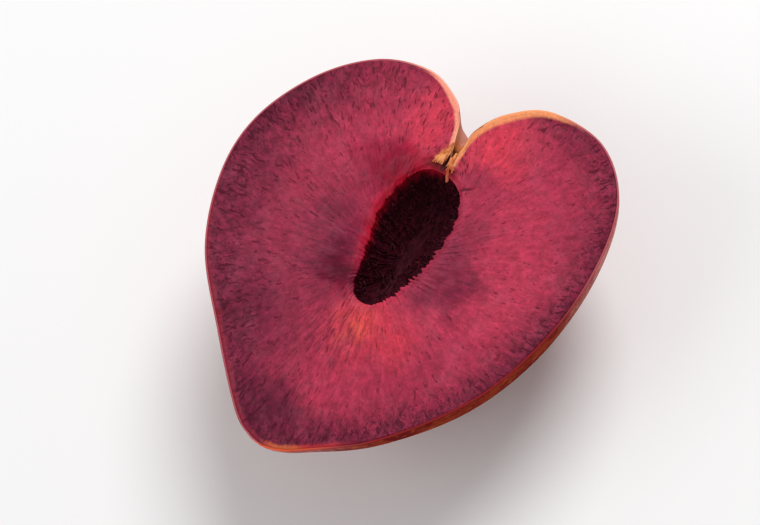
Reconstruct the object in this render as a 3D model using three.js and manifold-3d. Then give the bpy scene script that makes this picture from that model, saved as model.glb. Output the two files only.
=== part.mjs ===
// Half of a red-fleshed plum, cut lengthways through the stem hollow, with its stone taken out.
// It lies on its rounded back with the cut face up. Millimetres, +Z up, +Y towards the stem end, and
// the origin is under the middle of the half, on the surface that it lies on.
import * as THREE from "three";
import { mergeVertices } from "three/addons/utils/BufferGeometryUtils.js";
import Module from "manifold-3d";

// Driving dimensions.
const LENGTH = 60.8; // blossom tip to the top of the higher shoulder
const WIDTH = 53.8; // across the cut face
const DEPTH = 26.4; // cut face to the deepest point of the back
const RESTING_SAG = 0.7; // how much of the back the flat resting spot takes off
const STONE_LENGTH = 21.2;
const STONE_THICKNESS = 10.8; // the stone stood on edge, so this is its width in the cut
const STONE_HALF_WIDTH = 8.4; // how deep the stone sat in this half

// Mesh density.
const STATIONS = 66; // steps from the stem hollow to the tip, along each side
const SKIN_STEPS = 34; // steps round the back, from one side of the cut to the other
const FACE_RINGS = 12; // rings on the cut face, from skin to stone hollow
const HOLLOW_RINGS = 7; // rings down the wall of the stone hollow

// Three outlines run from the bottom of the stem hollow, over the shoulder, to the blossom tip.
// Each point is [share of half the width or of the depth, share of the length], and the three keep
// step with each other, so that a ring round the fruit passes through one point of each.
const LEFT_OUTLINE = [
  [0.019, 0.793], [-0.011, 0.826], [-0.06, 0.88], [-0.15, 0.918], [-0.345, 0.943], [-0.61, 0.906],
  [-0.846, 0.8], [-0.996, 0.646], [-0.99, 0.492], [-0.825, 0.319], [-0.508, 0.17], [-0.2, 0.042],
  [-0.06, 0.007], [0.035, 0],
];
const RIGHT_OUTLINE = [
  [0.019, 0.793], [0.038, 0.82], [0.042, 0.873], [0.135, 0.942], [0.33, 0.999], [0.652, 0.993],
  [0.89, 0.899], [0.989, 0.738], [0.975, 0.543], [0.837, 0.34], [0.54, 0.152], [0.25, 0.047],
  [0.125, 0.012], [0.035, 0],
];
const BACK_OUTLINE = [
  [0, 0.793], [0.06, 0.822], [0.13, 0.846], [0.24, 0.868], [0.4, 0.884], [0.62, 0.875],
  [0.85, 0.805], [0.976, 0.68], [0.999, 0.53], [0.87, 0.352], [0.56, 0.17], [0.25, 0.047],
  [0.1, 0.01], [0, 0],
];

// The suture is the shallow valley that runs down the back from the stem hollow and fades to the tip.
const SUTURE_DEPTH = 0.8;
const SUTURE_HALF_ANGLE = 0.17;
const SUTURE_DEEPEST_SHARE = 0.36;
const SUTURE_REACH_SHARE = 0.18;

// The hollow that the stone left.
const STONE_MIDDLE = new THREE.Vector2(0.9, 0.573 * LENGTH);
const STONE_LEAN = 0.04; // how far its long axis leans from the fruit's own, in radians
const STONE_FULLER_TOP = 0.26; // the end by the stem is this much fuller than an even oval
const STONE_FLATTER_SIDE = 0.8; // the upper left side is this much flatter than the right
const RIM_TEETH = 0.4; // how far the torn fibres at the rim stand in and out

// Relief of the cut face.
const FIBRE_RELIEF = 0.1; // ridges where the flesh fibres run from stone to skin
const DIP_DEPTH = 0.9; // the flesh sinks beside the stone hollow, on each side
const RIM_LIP = 0.4; // the torn rim of the stone hollow rounds down into it
const SKIN_DROOP = 0.2; // the skin pulls the edge of the cut down a little

// Torn fibres of the stem scar, each [from, to, radius at from, radius at to], as [across, along,
// above the cut face], with across and along measured from the bottom of the stem hollow.
const STEM_SHREDS = [
  [[-0.7, 1.1, -0.1], [-1, -2.3, -0.2], 0.35, 0.5],
  [[0.7, 0.5, -0.1], [0.6, -1.4, -0.1], 0.35, 0.4],
  [[0.5, -1.2, -0.1], [1.75, -3.7, -0.3], 0.35, 0.2],
  [[0, 0.4, -0.9], [0, -1.8, -0.9], 0.4, 0.3],
];

const cutHeight = DEPTH - RESTING_SAG;
const fullTurn = 2 * Math.PI;

// A repeatable random number from 0 to 1 for each call.
function randomFrom(seed) {
  let state = seed;
  return () => {
    state = (Math.imul(state, 1664525) + 1013904223) >>> 0;
    return state / 2 ** 32;
  };
}

// A closed wave made of a few harmonics with random phases, which mostly stays between -1 and 1.
function looseWave(seed, fewest, most, count) {
  const random = randomFrom(seed);
  const waves = Array.from({ length: count }, () => ({
    turns: Math.round(fewest + (most - fewest) * random()),
    phase: fullTurn * random(),
  }));
  const height = (share) => waves.reduce((sum, w) => sum + Math.sin(fullTurn * w.turns * share + w.phase), 0);
  return (share) => height(share) / Math.sqrt(2 * count);
}

// A bell-shaped hump: 1 at its middle, falling away over its width.
const bell = (distance, width) => Math.exp(-((distance / width) ** 2));

const outlineCurve = (points, across) =>
  new THREE.SplineCurve(points.map(([a, l]) => new THREE.Vector2(a * across, l * LENGTH)));
const leftCurve = outlineCurve(LEFT_OUTLINE, WIDTH / 2);
const rightCurve = outlineCurve(RIGHT_OUTLINE, WIDTH / 2);
const backCurve = outlineCurve(BACK_OUTLINE, DEPTH);

// A point of the plain skin, with the cut face at height 0. share runs from the stem hollow to the
// tip, and turn from 0 at the right of the cut, through the back, to pi at its left.
function plainSkinPoint(share, turn) {
  const left = leftCurve.getPoint(share);
  const right = rightCurve.getPoint(share);
  const back = backCurve.getPoint(share);
  const toSide = Math.cos(turn);
  const side = toSide > 0 ? right : left;
  const across = (left.x + right.x) / 2 + ((right.x - left.x) / 2) * toSide;
  const along = back.y + (side.y - back.y) * toSide ** 2;
  return new THREE.Vector3(across, along, -Math.max(0, back.x) * Math.sin(turn));
}

// The same point with the suture pressed into the back.
function skinPoint(share, turn) {
  const point = plainSkinPoint(share, turn);
  const midBack = bell(turn - Math.PI / 2, SUTURE_HALF_ANGLE);
  const valley = midBack * bell(share - SUTURE_DEEPEST_SHARE, SUTURE_REACH_SHARE);
  if (valley < 0.02) return point;
  const step = 1e-3;
  const alongShare = plainSkinPoint(share + step, turn).sub(plainSkinPoint(share - step, turn));
  const alongTurn = plainSkinPoint(share, turn + step).sub(plainSkinPoint(share, turn - step));
  const inward = alongTurn.cross(alongShare).normalize();
  return point.addScaledVector(inward, SUTURE_DEPTH * valley);
}

// The edge of the stone hollow in the cut, from its top, by the stem, round to its lower end.
const rimWave = looseWave(7, 9, 31, 9);
function hollowRim(loop, share, side) {
  const angle = Math.PI * share;
  const fuller = 1 + STONE_FULLER_TOP * Math.cos(angle);
  const teeth = RIM_TEETH * rimWave(loop) * Math.sqrt(Math.sin(angle));
  const flatter = side < 0 ? STONE_FLATTER_SIDE * bell(share - 0.28, 0.2) : 0;
  const across = side * ((STONE_THICKNESS / 2) * Math.sin(angle) ** 0.8 * fuller + teeth - flatter);
  const along = (STONE_LENGTH / 2) * Math.cos(angle);
  return new THREE.Vector2(across, along).rotateAround(new THREE.Vector2(), STONE_LEAN).add(STONE_MIDDLE);
}

// Height of the cut face. out is 0 at the stone hollow and 1 at the skin.
const fibreWave = looseWave(21, 16, 43, 10);
const dipAlong = STONE_MIDDLE.y - 2;
function faceHeight(loop, out, place) {
  const byStem = bell(Math.min(loop, 1 - loop), 0.06);
  const fibres = FIBRE_RELIEF * fibreWave(loop) * Math.sin(Math.PI * out) * (1 - byStem);
  const leftDip = bell(place.x + 7, 4.5) * bell(place.y - dipAlong, 6);
  const rightDip = 0.6 * bell(place.x - 9.5, 4) * bell(place.y - dipAlong + 2, 5);
  const lip = RIM_LIP * (1 - out) ** 8 + SKIN_DROOP * out ** 12;
  return fibres - DIP_DEPTH * (leftDip + rightDip) * (1 - out ** 2) - lip * (1 - byStem);
}

// The loop round the cut goes down the right side from the stem hollow to the tip, and back up the left.
const loopColumns = Array.from({ length: 2 * STATIONS }, (_, k) => ({
  loop: k / (2 * STATIONS),
  share: Math.min(k, 2 * STATIONS - k) / STATIONS,
  side: k <= STATIONS ? 1 : -1,
}));

// Rings of the cut face, from the skin in to the rim of the stone hollow.
function faceRing(step) {
  const out = 1 - step / FACE_RINGS;
  return loopColumns.map(({ loop, share, side }) => {
    const edge = skinPoint(share, side > 0 ? 0 : Math.PI);
    if (step === 0) return edge;
    const place = new THREE.Vector2(edge.x, edge.y).lerp(hollowRim(loop, share, side), 1 - out);
    return new THREE.Vector3(place.x, place.y, faceHeight(loop, out, place));
  });
}

// Rings of the stone hollow, which narrows with depth as the flat stone did.
function hollowRing(rim, step) {
  const deep = step / HOLLOW_RINGS;
  const narrow = (1 - deep ** 1.7) ** 0.75;
  const short = Math.sqrt(1 - deep ** 2.2);
  return rim.map((point) => {
    const x = STONE_MIDDLE.x + (point.x - STONE_MIDDLE.x) * narrow;
    const y = STONE_MIDDLE.y + (point.y - STONE_MIDDLE.y) * short;
    return new THREE.Vector3(x, y, THREE.MathUtils.lerp(point.z, -STONE_HALF_WIDTH, deep));
  });
}

// The half as one closed surface: skin, cut face and stone hollow share their edges.
function halfGeometry() {
  const corners = [];
  const face = (...points) => points.forEach((p) => corners.push(p.x, p.y, p.z));
  const quad = (a, b, c, d) => {
    face(a, b, c);
    face(a, c, d);
  };
  const skin = Array.from({ length: STATIONS + 1 }, (_, i) =>
    Array.from({ length: SKIN_STEPS + 1 }, (_, j) => skinPoint(i / STATIONS, (Math.PI * j) / SKIN_STEPS)),
  );
  for (let i = 0; i < STATIONS; i++)
    for (let j = 0; j < SKIN_STEPS; j++) {
      const [a, b, c, d] = [skin[i][j], skin[i + 1][j], skin[i + 1][j + 1], skin[i][j + 1]];
      if (i === 0) face(a, b, c);
      else if (i === STATIONS - 1) face(a, b, d);
      else quad(a, b, c, d);
    }
  const rings = Array.from({ length: FACE_RINGS + 1 }, (_, step) => faceRing(step));
  const rim = rings[FACE_RINGS];
  for (let step = 1; step < HOLLOW_RINGS; step++) rings.push(hollowRing(rim, step));
  const next = (k) => (k + 1) % loopColumns.length;
  for (let i = 0; i < rings.length - 1; i++) {
    const [ring, inner] = [rings[i], rings[i + 1]];
    loopColumns.forEach((_, k) => quad(ring[k], inner[k], inner[next(k)], ring[next(k)]));
  }
  const last = rings[rings.length - 1];
  const bottom = new THREE.Vector3(STONE_MIDDLE.x, STONE_MIDDLE.y, -STONE_HALF_WIDTH);
  loopColumns.forEach((_, k) => face(last[k], bottom, last[next(k)]));
  return new THREE.BufferGeometry().setAttribute("position", new THREE.Float32BufferAttribute(corners, 3));
}

// A torn fibre, a thin tapering rod.
function shredGeometry([from, to, radiusAtFrom, radiusAtTo]) {
  const stemHollow = plainSkinPoint(0, 0);
  const [start, end] = [from, to].map((place) => new THREE.Vector3(...place).add(stemHollow));
  const run = end.clone().sub(start);
  const geometry = new THREE.CylinderGeometry(radiusAtTo, radiusAtFrom, run.length(), 6, 3);
  const upright = new THREE.Vector3(0, 1, 0);
  geometry.applyQuaternion(new THREE.Quaternion().setFromUnitVectors(upright, run.clone().normalize()));
  return geometry.translate(...start.lerp(end, 0.5).toArray());
}

// Solids for joining and cutting, and back to a mesh.
const wasm = await Module();
wasm.setup();
function solidFrom(geometry) {
  geometry.deleteAttribute("normal");
  geometry.deleteAttribute("uv");
  const merged = mergeVertices(geometry, 1e-4);
  const vertProperties = merged.attributes.position.array;
  const triVerts = Uint32Array.from(merged.index.array);
  return new wasm.Manifold(new wasm.Mesh({ numProp: 3, vertProperties, triVerts }));
}
function geometryFrom(solid) {
  const { vertProperties, triVerts } = solid.getMesh();
  const geometry = new THREE.BufferGeometry();
  geometry.setAttribute("position", new THREE.BufferAttribute(vertProperties, 3));
  return geometry.setIndex(new THREE.BufferAttribute(triVerts, 1));
}

// The whole half, with its torn fibres joined on and its resting spot cut flat.
function plumHalf() {
  const belowRest = new THREE.BoxGeometry(WIDTH, LENGTH, DEPTH);
  belowRest.translate(0, LENGTH / 2, -cutHeight - DEPTH / 2);
  const shreds = STEM_SHREDS.map((shred) => solidFrom(shredGeometry(shred)));
  const torn = shreds.reduce((solid, shred) => solid.add(shred), solidFrom(halfGeometry()));
  const geometry = geometryFrom(torn.subtract(solidFrom(belowRest)));
  geometry.computeBoundingBox();
  const middle = geometry.boundingBox.getCenter(new THREE.Vector3());
  return geometry.translate(-middle.x, -middle.y, cutHeight);
}

const flesh = new THREE.MeshStandardMaterial({ color: 0xa8394f, roughness: 0.4 });
const half = new THREE.Mesh(plumHalf(), flesh);
half.name = "plum_half";

const plum = new THREE.Group();
plum.add(half);
export default plum;
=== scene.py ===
"""Half of a red-fleshed plum, lying on its back with the cut face up: flesh, skin and torn fibres."""
import functools
import math

import bmesh
import bpy
import numpy as np
from mathutils import Matrix, Vector, noise


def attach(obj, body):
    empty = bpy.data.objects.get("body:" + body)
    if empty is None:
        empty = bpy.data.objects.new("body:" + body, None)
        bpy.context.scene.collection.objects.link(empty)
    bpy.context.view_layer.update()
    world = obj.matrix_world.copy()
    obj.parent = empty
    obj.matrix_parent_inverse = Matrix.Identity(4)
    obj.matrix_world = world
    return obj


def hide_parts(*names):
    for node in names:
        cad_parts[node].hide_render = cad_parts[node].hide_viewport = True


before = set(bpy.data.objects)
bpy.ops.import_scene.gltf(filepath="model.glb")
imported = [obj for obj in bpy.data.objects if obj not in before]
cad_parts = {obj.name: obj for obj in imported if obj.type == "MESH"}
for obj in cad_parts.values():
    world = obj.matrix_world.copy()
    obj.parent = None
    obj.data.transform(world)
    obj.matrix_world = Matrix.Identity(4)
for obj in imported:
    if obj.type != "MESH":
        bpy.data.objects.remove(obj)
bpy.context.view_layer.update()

# ---- Sizes of the fruit, in millimetres. Lengths run from the blossom tip, and heights from the cut.
MM = 0.001
LENGTH = 60.8
WIDTH = 53.8
DEPTH = 26.4
RESTING_SAG = 0.7
CUT_HEIGHT = DEPTH - RESTING_SAG
STONE_LENGTH = 21.2
STONE_THICKNESS = 10.8
STONE_HALF_WIDTH = 8.4
STONE_MIDDLE = (0.9, 0.573 * LENGTH)
STONE_LEAN = 0.04
STONE_FULLER_TOP = 0.26
STONE_FLATTER_LEFT = ((0.28, 0.2, 0.8), (0.62, 0.15, 1.0))  # where down the left side, reach, and by how much
FIBRE_TWIST = 0.07  # below the stone hollow its fibres swing this share of a turn to the right
SKIN_THICKNESS = 0.32
INSIDE_BOX = 0.05  # the finished surface lies this far inside the plain solid
RIM_STANDS = 0.04  # the flesh rises this much to meet the cut skin
FACE_LIES = 0.09  # elsewhere it lies at least this far below the skin's edge
STRAND_RELIEF = 0.03
BROAD_RELIEF = 0.09
TORN_EDGE = 0.45  # it drops this much more where it turns down into the stone hollow
FIBRE_DROP = 9  # the fibres' own measure of the way down the hollow's wall
RESTING_GAP = 0.02  # the skin stays this far above the floor

# Outlines from the bottom of the stem hollow, over the shoulder, to the tip: shares of half the
# width or of the depth, and of the length.
LEFT_OUTLINE = (
    (0.019, 0.793), (-0.011, 0.826), (-0.06, 0.88), (-0.15, 0.918), (-0.345, 0.943), (-0.61, 0.906),
    (-0.846, 0.8), (-0.996, 0.646), (-0.99, 0.492), (-0.825, 0.319), (-0.508, 0.17), (-0.2, 0.042),
    (-0.06, 0.007), (0.035, 0),
)
RIGHT_OUTLINE = (
    (0.019, 0.793), (0.038, 0.82), (0.042, 0.873), (0.135, 0.942), (0.33, 0.999), (0.652, 0.993),
    (0.89, 0.899), (0.989, 0.738), (0.975, 0.543), (0.837, 0.34), (0.54, 0.152), (0.25, 0.047),
    (0.125, 0.012), (0.035, 0),
)
BACK_OUTLINE = (
    (0, 0.793), (0.06, 0.822), (0.13, 0.846), (0.24, 0.868), (0.4, 0.884), (0.62, 0.875),
    (0.85, 0.805), (0.976, 0.68), (0.999, 0.53), (0.87, 0.352), (0.56, 0.17), (0.25, 0.047),
    (0.1, 0.01), (0, 0),
)
SUTURE_DEPTH = 0.8
SUTURE_HALF_ANGLE = 0.17
SUTURE_DEEPEST_SHARE = 0.36
SUTURE_REACH_SHARE = 0.18

# Mesh density.
STATIONS = 400  # columns of the cut face on each side, from the stem hollow to the tip
FACE_RINGS = 74
HOLLOW_RINGS = 15
BACK_STEPS = 12
SKIN_STATIONS = 230
SKIN_STEPS = 112


def bell(distance, width):
    """1 at the middle, falling away over the width."""
    return np.exp(-((distance / width) ** 2))


def rise(value, low, high):
    """A smooth step from 0 at low to 1 at high."""
    t = np.clip((value - low) / (high - low), 0, 1)
    return t * t * (3 - 2 * t)


def turned(dx, dy, turn):
    """The same offset, measured in axes that are turned by this angle."""
    cos, sin = math.cos(turn), math.sin(turn)
    return dx * cos + dy * sin, dy * cos - dx * sin


def outline(points, half_width, share):
    """Places on a smooth outline, as across and along in millimetres."""
    knots = np.array(points) * (half_width, LENGTH)
    spans = len(knots) - 1
    at = np.clip(share, 0, 1) * spans
    first = np.minimum(at.astype(int), spans - 1)
    w = (at - first)[..., None]
    p0, p1, p2, p3 = (knots[np.clip(first + step, 0, spans)] for step in (-1, 0, 1, 2))
    v0 = (p2 - p0) / 2
    v1 = (p3 - p1) / 2
    return (2 * p1 - 2 * p2 + v0 + v1) * w**3 + (3 * p2 - 3 * p1 - 2 * v0 - v1) * w**2 + v0 * w + p1


def plain_skin(share, turn):
    """Points of the skin without its suture. turn goes from 0, at the right of the cut, to pi."""
    left = outline(LEFT_OUTLINE, WIDTH / 2, share)
    right = outline(RIGHT_OUTLINE, WIDTH / 2, share)
    back = outline(BACK_OUTLINE, DEPTH, share)
    to_side = np.cos(turn)
    side_along = np.where(to_side > 0, right[..., 1], left[..., 1])
    across = (left[..., 0] + right[..., 0]) / 2 + (right[..., 0] - left[..., 0]) / 2 * to_side
    along = back[..., 1] + (side_along - back[..., 1]) * to_side**2
    return np.stack([across, along, -np.maximum(0, back[..., 0]) * np.sin(turn)], axis=-1)


def unit(vectors):
    return vectors / np.maximum(np.linalg.norm(vectors, axis=-1, keepdims=True), 1e-9)


def outward_normals(grid):
    """Normals of a grid of skin points, level at the cut and shared at its two poles."""
    along = np.gradient(grid, axis=0)
    around = np.gradient(grid, axis=1)
    normals = unit(np.cross(along, around))
    normals[:, (0, -1), 2] = 0
    for pole, beside in ((0, 1), (-1, -2)):
        normals[pole] = normals[beside].mean(axis=0)
    return unit(normals)


def noise_at(points, size, seed):
    """Smooth noise, about -1 to 1, with features of that size."""
    shift = Vector((seed * 13.7, seed * 5.3, seed * 9.1))
    flat = points.reshape(-1, 3) / size
    return np.array([noise.noise(Vector(p) + shift) for p in flat]).reshape(points.shape[:-1]) * 1.6


def skin_grid(stations, steps):
    """The outer skin: points, outward normals, and each row's share and turn."""
    share = np.linspace(0, 1, stations + 1)[:, None]
    turn = np.linspace(0, math.pi, steps + 1)[None, :]
    share, turn = np.broadcast_arrays(share, turn)
    points = plain_skin(share, turn)
    normals = outward_normals(points)
    valley = bell(turn - math.pi / 2, SUTURE_HALF_ANGLE)
    valley = valley * bell(share - SUTURE_DEEPEST_SHARE, SUTURE_REACH_SHARE)
    uneven = 0.14 * (1 + noise_at(points, 11, 3)) * np.sin(turn) ** 0.5 * np.sin(math.pi * share) ** 0.5
    points = points - normals * (SUTURE_DEPTH * valley + uneven + INSIDE_BOX)[..., None]
    return points, normals, share, turn


def rest_flat(points, height):
    """Flattens what would reach below the resting spot."""
    points[..., 2] = np.maximum(points[..., 2], height - CUT_HEIGHT)
    return points


side_points = np.concatenate([
    outline(LEFT_OUTLINE, WIDTH / 2, np.linspace(0, 1, 67)),
    outline(RIGHT_OUTLINE, WIDTH / 2, np.linspace(0, 1, 67)),
])
MIDDLE = (side_points.min(axis=0) + side_points.max(axis=0)) / 2


def placed(points):
    """From millimetres on the fruit to metres in the frame."""
    return (points - (MIDDLE[0], MIDDLE[1], -CUT_HEIGHT)) * MM


def linked(name, data):
    """A new object in the scene, made of this data."""
    made = bpy.data.objects.new(name, data)
    bpy.context.collection.objects.link(made)
    return made


def new_mesh(name, points, edges, faces):
    mesh = bpy.data.meshes.new(name)
    mesh.from_pydata(points, edges, faces)
    return mesh


def mesh_piece(name, points, faces, attributes=None):
    """A smooth mesh object, with one value or vector for each of its points under each name."""
    mesh = new_mesh(name, placed(points).tolist(), [], faces)
    mesh.shade_smooth()
    for key, values in (attributes or {}).items():
        values = np.asarray(values, dtype=np.float32)
        kind, field = ("FLOAT_VECTOR", "vector") if values.ndim == 2 else ("FLOAT", "value")
        mesh.attributes.new(key, kind, "POINT").data.foreach_set(field, values.ravel())
    mesh.validate()
    return linked(name, mesh)


def ring_faces(first, rings, count):
    """Faces between rings of points, from the ring that starts at the first point on."""
    faces = []
    for here in range(first, first + (rings - 1) * count, count):
        there = here + count
        for k in range(count):
            after = (k + 1) % count
            faces.append((here + k, there + k, there + after, here + after))
    return faces


# ---- Flesh: the cut face, the stone hollow and the plain back under the skin.
def down_and_side(loop):
    """How far down places on the loop are, from 0 to 1, and their side: 1 for the right, -1 for the left.
    The loop goes round the cut, down the right side from 0 to 0.5 and back up the left side to 1."""
    return 1 - np.abs(2 * loop - 1), np.where(loop <= 0.5, 1.0, -1.0)


def wave(loop, seed, fewest, most, count):
    """A closed wave of random harmonics, which mostly stays between -1 and 1."""
    random = np.random.default_rng(seed)
    turns = random.integers(fewest, most, count)
    phases = random.uniform(0, 2 * math.pi, count)
    return np.sin(2 * math.pi * loop[:, None] * turns + phases).sum(axis=1) / math.sqrt(2 * count)


def hollow_rim(loop):
    """The torn edge of the stone hollow in the cut."""
    share, side = down_and_side(loop)
    angle = math.pi * share
    lower_right = (side > 0) * rise(share, 0.25, 0.5)
    teeth = 0.16 * wave(loop, 7, 9, 31, 9) + (0.1 + 0.16 * lower_right) * wave(loop, 8, 60, 130, 14)
    teeth = teeth + 0.22 * lower_right * wave(loop, 12, 24, 50, 8)
    half_width = STONE_THICKNESS / 2 * np.sin(angle) ** 0.8 * (1 + STONE_FULLER_TOP * np.cos(angle))
    flatter = (side < 0) * sum(by * bell(share - at, reach) for at, reach, by in STONE_FLATTER_LEFT)
    across = side * (half_width + teeth * np.sqrt(np.sin(angle)) - flatter)
    along = STONE_LENGTH / 2 * np.cos(angle)
    return np.stack(turned(across, along, -STONE_LEAN), axis=-1) + STONE_MIDDLE


def hollow_wall(rim, rim_height, deep):
    """Rings of the hollow's wall, which narrows with depth as the flat stone did. deep goes from 0 to 1."""
    return np.stack(np.broadcast_arrays(
        STONE_MIDDLE[0] + (rim[:, 0] - STONE_MIDDLE[0]) * (1 - deep**1.7) ** 0.75,
        STONE_MIDDLE[1] + (rim[:, 1] - STONE_MIDDLE[1]) * np.sqrt(1 - deep**2.2),
        rim_height + (-STONE_HALF_WIDTH - rim_height) * deep,
    ), axis=-1)


# Where the flesh sinks on each side of the stone hollow: middle, reach and strength.
DIPS = (((-7.2, STONE_MIDDLE[1] - 2.5), (3.4, 5.5), 1.0), ((9.8, STONE_MIDDLE[1] - 4), (3.0, 4.5), 0.6))
DIP_DEPTH = 0.8


def dips(x, y):
    return sum(share * bell(x - across, wide) * bell(y - along, long)
               for (across, along), (wide, long), share in DIPS)


PIT_COUNT = 520
PIT_DEPTH = 0.16
# Splits beside the stone hollow and in the stem scar: middle from the box's, half size, angle and depth.
SPLITS = (
    ((5.2, 14.7), (1.3, 0.2), 0.66, 1.2),
    ((0.45, 16.9), (1.3, 0.24), 1.6, 4.0),
    ((1.2, 15.75), (0.8, 0.22), 0.05, 3.0),
    ((0.15, -22.8), (1.3, 0.2), 1.5, 0.9),
)


def pits(places, fibre_angle, to_skin, to_hollow):
    """Short gashes along the fibres, where bundles of them tore out. About 1 in the middle of a gash."""
    random = np.random.default_rng(11)
    depth = np.zeros(len(places))

    def gash(middle, half_length, half_width, turn, strength):
        near = np.abs(places - middle).max(axis=1) < 3 * half_length
        lengthways, sideways = turned(*(places[near] - middle).T, turn)
        made_here = strength * bell(lengthways, half_length) * bell(sideways, half_width)
        depth[near] = np.maximum(depth[near], made_here)

    for (across, along), (half_length, half_width), turn, deep in SPLITS:
        gash((across + MIDDLE[0], along + MIDDLE[1]), half_length, half_width, turn, deep)
    chosen = random.choice(len(places), PIT_COUNT * 4, replace=False)
    made = 0
    for index in chosen:
        x, y = places[index]
        likely = 0.12 + 0.6 * math.exp(-((to_skin[index] - 3.5) / 4) ** 2) + 0.35 * (x < -6) * (y > 18)
        keep = random.random()
        size = random.uniform(0.45, 1.3), random.uniform(0.08, 0.15)
        strength = random.uniform(0.3, 0.9)
        if keep > likely or made >= PIT_COUNT or to_hollow[index] < 1.2 or to_skin[index] < 0.6:
            continue
        made += 1
        gash((x, y), size[0] / 2, size[1], fibre_angle[index] + 0.9 * (strength - 0.6), strength)
    return depth


GLOSS_ADDS = 0.013  # to the flesh's colours, so it is taken off them first
LIGHT_ON_CUT = 1.07
# The flesh's colours, as they look on a screen, and where they lie on the cut: across and along from the
# box's middle, reach each way, turn in degrees, colour, and strength. Later ones lie on top.
PINK = (178, 58, 82)
WINE = (160, 52, 76)
CRIMSON = (212, 64, 82)
DULL_PURPLE = (124, 46, 68)
DEEP_PURPLE = (100, 36, 56)
MAROON_SHADE = (78, 12, 32)
SHADOW_RED = (122, 12, 34)
AMBER = (222, 140, 72)
# Painted light: the red glow where the hollow's left rim catches the light.
RIM_GLOW_RED = (172, 12, 38)
CUT_PATCHES = (
    # The first, third and fourth rows: partly the flesh's own purple, partly a painted grey sheen of the wet
    # face, on the left, at the top right and low on the left.
    (-16, -4, 11, 14, 20, (138, 52, 74), 0.65),
    (14, -13, 9, 8, 30, (150, 48, 72), 0.55),
    (18, 25, 7, 6, -30, (146, 46, 70), 0.55),
    (-13, -15, 9, 7, -40, (116, 46, 66), 0.6),
    (-4.5, 21, 3.4, 5.5, 0, CRIMSON, 0.75),
    (5.5, 22, 4.2, 6.5, 0, CRIMSON, 0.85),
    (17, 9, 6, 12, 0, (188, 60, 86), 0.4),
    (6.5, -9, 5, 4.5, 0, (204, 62, 78), 0.8),
    (4, -13.5, 5, 4, 0, (176, 54, 76), 0.5),
    (2.6, -8.8, 3.2, 2.8, 0, (220, 76, 78), 0.65),
    (2.7, -10.3, 1, 1.3, 30, (226, 104, 78), 0.4),
    (2.1, -12.2, 0.8, 1.2, 30, (220, 104, 80), 0.35),
    (-5, -17, 6, 7, -20, (120, 44, 66), 0.4),
    # The next four: painted shade in the dip left of the stone hollow, darkest in the maroon beside its lower
    # end.
    (-8.5, 2.5, 3.6, 4.2, 0, DULL_PURPLE, 0.7),
    (-8, -4.5, 3.2, 2.6, 0, DULL_PURPLE, 0.6),
    (-5.8, -1, 2.6, 4.2, -15, (92, 32, 52), 0.75),
    (-3.4, -4.3, 3, 2.5, 0, MAROON_SHADE, 0.92),
    (-4.6, -8.4, 2.4, 2, 0, (116, 40, 60), 0.5),
    (-7.8, 9.2, 2.6, 2.2, 0, (128, 40, 62), 0.6),
    (-21.5, -1, 3.6, 7, 0, (106, 38, 58), 0.45),
    # This row: painted shade in the dip right of the stone hollow.
    (9.6, 0.5, 3.4, 2.4, 0, (124, 42, 64), 0.4),
    (8, 16.4, 3, 2.4, 0, (142, 46, 70), 0.5),
    (21.5, 17, 3, 5, 0, (136, 46, 70), 0.5),
    # The next three: painted shadow, dark red up and to the left of the stone hollow's top.
    (-7.5, 13, 3.4, 2.2, 15, (136, 28, 54), 0.65),
    (-4.6, 12, 2.6, 3.2, 0, SHADOW_RED, 0.85),
    (-2.4, 15.2, 2.4, 1.3, 0, (150, 18, 38), 0.75),
    # The next three: more painted shade in the dip right of the stone hollow.
    (9, 5.5, 2.7, 6, 0, DULL_PURPLE, 0.8),
    (12.6, 2.2, 2.3, 3.2, 0, DEEP_PURPLE, 0.6),
    (10, -1.2, 4, 1.6, -15, DULL_PURPLE, 0.55),
    (7.5, 12, 3, 3.4, 0, WINE, 0.6),
    (4.6, 16.6, 2.2, 1.4, 20, DULL_PURPLE, 0.45),
    (-1, -25.5, 6.5, 4, 0, (92, 34, 54), 0.8),
    (-13, -17, 4, 8, -40, DEEP_PURPLE, 0.4),
)
# The stem scar's amber, its torn edges, and painted shade in the split and cleft in it.
SCAR_PATCHES = (
    (-0.2, 17.4, 0.7, 1.5, -12, AMBER, 0.95),
    (0.3, 15.35, 2.6, 0.6, 0, (96, 14, 20), 0.9),
    (1.25, 17.2, 0.55, 1.5, 0, (240, 176, 116), 0.85),
    (0.45, 16.9, 0.22, 1.5, 2, (40, 10, 8), 1.0),
    (1.2, 15.75, 0.9, 0.22, 0, (60, 12, 12), 0.9),
)
# Where dark hair-like strokes of torn fibre show most: middle, reach and strength.
STROKE_PATCHES = (
    (13.2, 2.5, 1.6, 2.6, 1.0),
    (12, -1, 1.8, 1.4, 0.8),
    (-11, -1.5, 4, 3, 0.7),
    (-8, -6, 3, 2, 0.6),
    (-13, 4, 4, 2.5, 0.5),
    (1, -12, 4.5, 5, 0.9),
    (-5, -13, 3, 5, 0.5),
    (0, -20, 3.5, 4, 0.5),
)


def patch_strength(places, across, along, wide, long, turn=0.0):
    """1 in the middle of a soft patch, falling away over its reach."""
    dx, dy = turned(places[..., 0] - across, places[..., 1] - along, math.radians(turn))
    return np.exp(-((dx / wide) ** 2 + (dy / long) ** 2) ** 1.3)


def linear(colours):
    """Colours as they look on a screen, 0 to 255, as a shader takes them."""
    values = np.clip(np.asarray(colours) / 255, 0, 1)
    return np.where(values <= 0.04045, values / 12.92, ((values + 0.055) / 1.055) ** 2.4)


def under_gloss(colours):
    """Shader colours for moist flesh that has to look like these, 0 to 255, with its gloss on top."""
    light = linear(colours)
    gloss = np.minimum(GLOSS_ADDS, 0.85 * light.min(axis=-1, keepdims=True))
    return (light - gloss) / LIGHT_ON_CUT


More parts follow.
